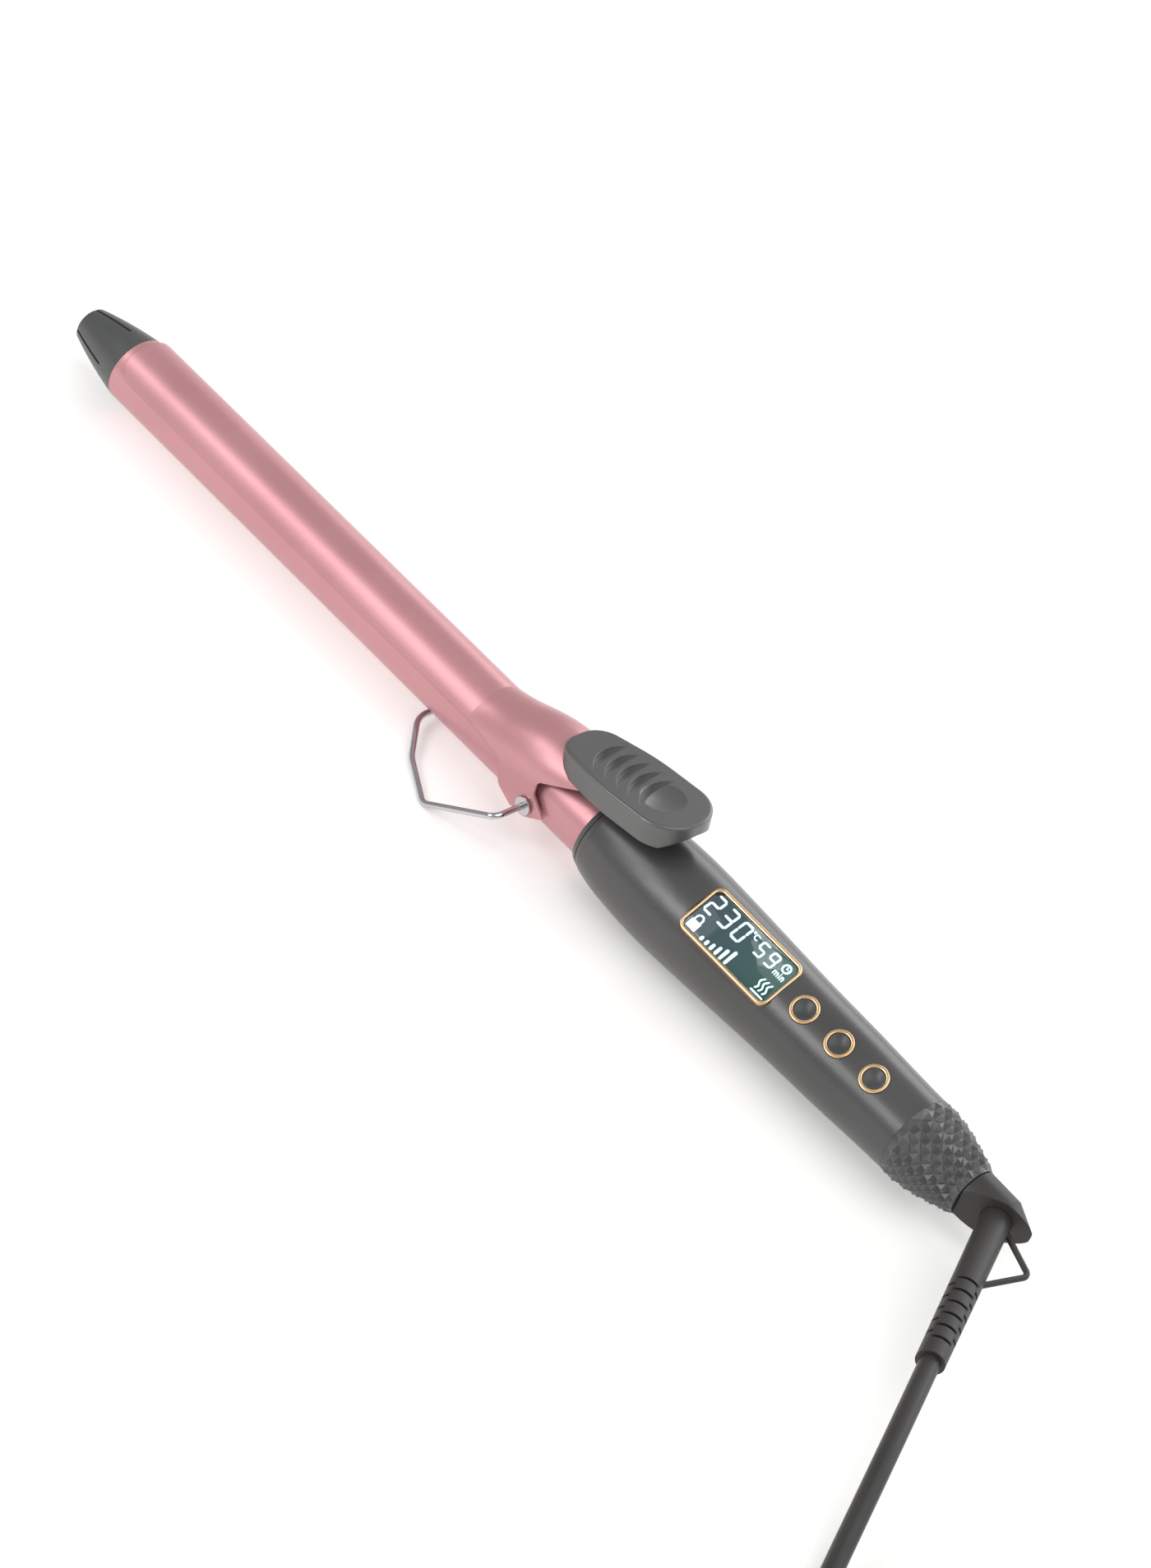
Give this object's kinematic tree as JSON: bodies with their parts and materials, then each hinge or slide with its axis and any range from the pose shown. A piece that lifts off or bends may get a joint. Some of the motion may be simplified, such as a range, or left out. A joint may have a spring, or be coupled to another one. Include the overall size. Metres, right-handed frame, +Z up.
{
  "type": "curling iron",
  "caption": "Hair curling iron with a sprung clip over a round barrel, a thumb lever, a wire stand, a handle with a display and keys, and a coiled swivel cord.",
  "frame": {"origin": "middle of the iron's length and width, on the floor that the handle and the stand lie on", "axes": "+X from the tip to the cord end, +Z up through the lever, -Y the side that the display is turned to"},
  "size_m": [0.5896, 0.2295, 0.0441],
  "materials": {
    "pink_coat": "satin",
    "dark_plastic": "satin",
    "tip_plastic": "matte",
    "chrome": "polished",
    "steel": "brushed",
    "gold": "satin",
    "black_gloss": "gloss",
    "black_rubber": "matte",
    "lens": "clear",
    "screen": "gloss",
    "board": "matte",
    "ceramic": "matte",
    "aluminium": "machined",
    "lead": "matte"
  },
  "bodies": {
    "iron": {"cool_tip": "tip_plastic", "barrel": "pink_coat", "heater_core": "ceramic", "heater_clamps": "aluminium", "thermal_fuse": "ceramic", "clip_spring": "steel", "hinge_rivets": "chrome", "front_collar": "dark_plastic", "handle_upper": "dark_plastic", "handle_lower": "dark_plastic", "shell_screws": "steel", "rear_grip": "dark_plastic", "display_bezel": "gold", "display_lens": "lens", "display_module": "screen", "circuit_board": "board", "tact_switches": "black_gloss", "button_rings": "gold", "heater_leads": "lead", "filter_choke": "steel", "mains_leads": "lead"},
    "clip": {"clip": "pink_coat", "lever_pad": "dark_plastic", "pad_rivet": "steel"},
    "stand": {"stand": "chrome"},
    "button_1": {"button_1": "black_gloss"},
    "button_2": {"button_2": "black_gloss"},
    "button_3": {"button_3": "black_gloss"},
    "swivel": {"swivel_socket": "black_rubber", "swivel_retainer": "steel", "cord_boot": "black_rubber", "power_cord": "black_rubber", "cord_coil": "black_rubber", "cord_tie": "black_rubber", "plug_lead": "black_rubber", "plug_body": "black_rubber", "plug_pins": "chrome"}
  },
  "joints": [
    {"name": "clip_hinge", "type": "hinge", "parent": "iron", "child": "clip", "pos_m": [0.0152, 0, 0.0137], "axis": [0, 1, 0], "range_deg": [0, 8.5], "stiffness_Nm_per_rad": 0.5, "springref_deg": -22.92, "deforming": ["clip_spring"]},
    {"name": "stand_hinge", "type": "hinge", "parent": "iron", "child": "stand", "pos_m": [0.0152, 0, 0.0137], "axis": [0, -1, 0], "range_deg": [0, 150]},
    {"name": "button_1_press", "type": "slide", "parent": "iron", "child": "button_1", "axis": [0, 0.5, -0.866], "range_m": [0, 0.0006], "stiffness_N_per_m": 1500, "springref_m": -0.0002},
    {"name": "button_2_press", "type": "slide", "parent": "iron", "child": "button_2", "axis": [0, 0.5, -0.866], "range_m": [0, 0.0006], "stiffness_N_per_m": 1500, "springref_m": -0.0002},
    {"name": "button_3_press", "type": "slide", "parent": "iron", "child": "button_3", "axis": [0, 0.5, -0.866], "range_m": [0, 0.0006], "stiffness_N_per_m": 1500, "springref_m": -0.0002},
    {"name": "cord_swivel", "type": "hinge", "parent": "iron", "child": "swivel", "pos_m": [0.185, 0, 0.016], "axis": [1, 0, 0], "continuous": true}
  ]
}
